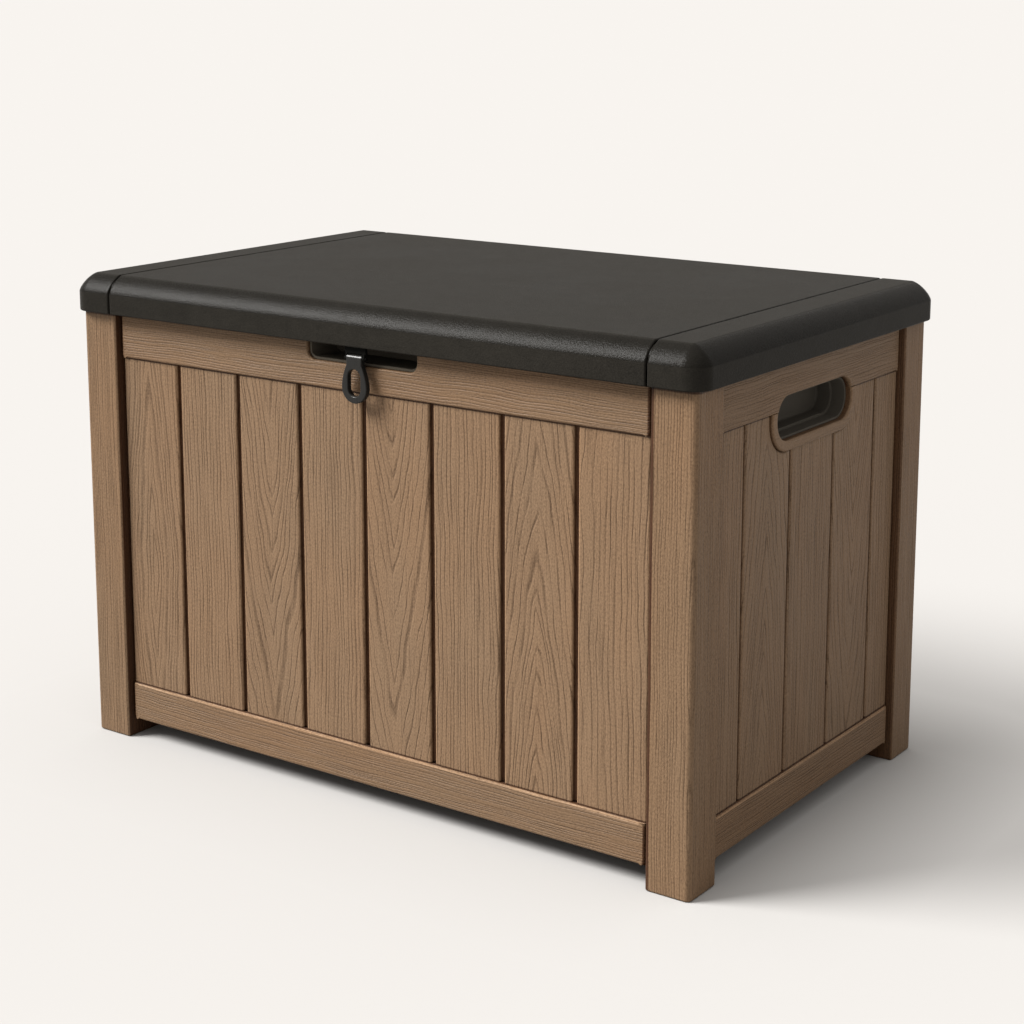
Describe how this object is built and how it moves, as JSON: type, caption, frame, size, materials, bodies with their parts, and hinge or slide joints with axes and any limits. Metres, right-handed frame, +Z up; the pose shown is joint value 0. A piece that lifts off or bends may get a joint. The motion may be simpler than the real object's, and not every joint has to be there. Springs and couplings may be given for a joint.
{
  "type": "deck storage box",
  "caption": "Framed and boarded outdoor storage box with a hinged plastic lid, recessed side hand holds, a finger notch under the lid and a hanging hasp tongue for a padlock.",
  "frame": {"origin": "on the ground, under the middle of the box", "axes": "+Z up, +X along the front to the right as seen from the front, and the front faces -Y"},
  "size_m": [0.736, 0.46, 0.485],
  "materials": {
    "frame_resin": "wood-look resin with a fine raised grain",
    "board_resin": "wood-look resin with a raised grain",
    "floor_resin": "plain matt",
    "lid_plastic": "charcoal with a fine leather-like stipple",
    "cup_plastic": "smooth matt, brown-black",
    "hasp_metal": "satin black",
    "hinge_metal": "satin black",
    "fastener_steel": "dull zinc"
  },
  "bodies": {
    "box": {"back_board_1": "board_resin", "back_board_2": "board_resin", "back_board_3": "board_resin", "back_board_4": "board_resin", "back_board_5": "board_resin", "back_board_6": "board_resin", "back_board_7": "board_resin", "back_board_8": "board_resin", "bottom_rail_back": "frame_resin", "bottom_rail_front": "frame_resin", "bottom_rail_left": "frame_resin", "bottom_rail_right": "frame_resin", "finger_cup": "cup_plastic", "floor_panel": "floor_resin", "front_board_1": "board_resin", "front_board_2": "board_resin", "front_board_3": "board_resin", "front_board_4": "board_resin", "front_board_5": "board_resin", "front_board_6": "board_resin", "front_board_7": "board_resin", "front_board_8": "board_resin", "handle_cup_left": "cup_plastic", "handle_cup_right": "cup_plastic", "handle_rim_left": "frame_resin", "handle_rim_right": "frame_resin", "hinge_body_screws": "fastener_steel", "hinge_left_body_leaf": "hinge_metal", "hinge_left_pin": "fastener_steel", "hinge_right_body_leaf": "hinge_metal", "hinge_right_pin": "fastener_steel", "left_board_1": "board_resin", "left_board_2": "board_resin", "left_board_3": "board_resin", "left_board_4": "board_resin", "left_board_5": "board_resin", "post_back_left": "frame_resin", "post_back_right": "frame_resin", "post_front_left": "frame_resin", "post_front_right": "frame_resin", "right_board_1": "board_resin", "right_board_2": "board_resin", "right_board_3": "board_resin", "right_board_4": "board_resin", "right_board_5": "board_resin", "top_rail_back": "frame_resin", "top_rail_front": "frame_resin", "top_rail_left": "frame_resin", "top_rail_right": "frame_resin"},
    "lid": {"hinge_left_lid_leaf": "hinge_metal", "hinge_right_lid_leaf": "hinge_metal", "lid_end_left": "lid_plastic", "lid_end_right": "lid_plastic", "lid_liner": "lid_plastic", "lid_panel": "lid_plastic", "hinge_lid_screws": "fastener_steel", "hasp_bracket": "hasp_metal", "hasp_pin": "hasp_metal", "bracket_screws": "fastener_steel"},
    "hasp": {"hasp": "hasp_metal"}
  },
  "joints": [
    {"name": "lid_hinge", "type": "hinge", "parent": "box", "child": "lid", "pos_m": [0, 0.226, 0.442], "axis": [-1, 0, 0], "range_deg": [0, 95]},
    {"name": "hasp_pivot", "type": "hinge", "parent": "lid", "child": "hasp", "pos_m": [0, -0.224, 0.436], "axis": [-1, 0, 0], "range_deg": [-4, 110]}
  ]
}
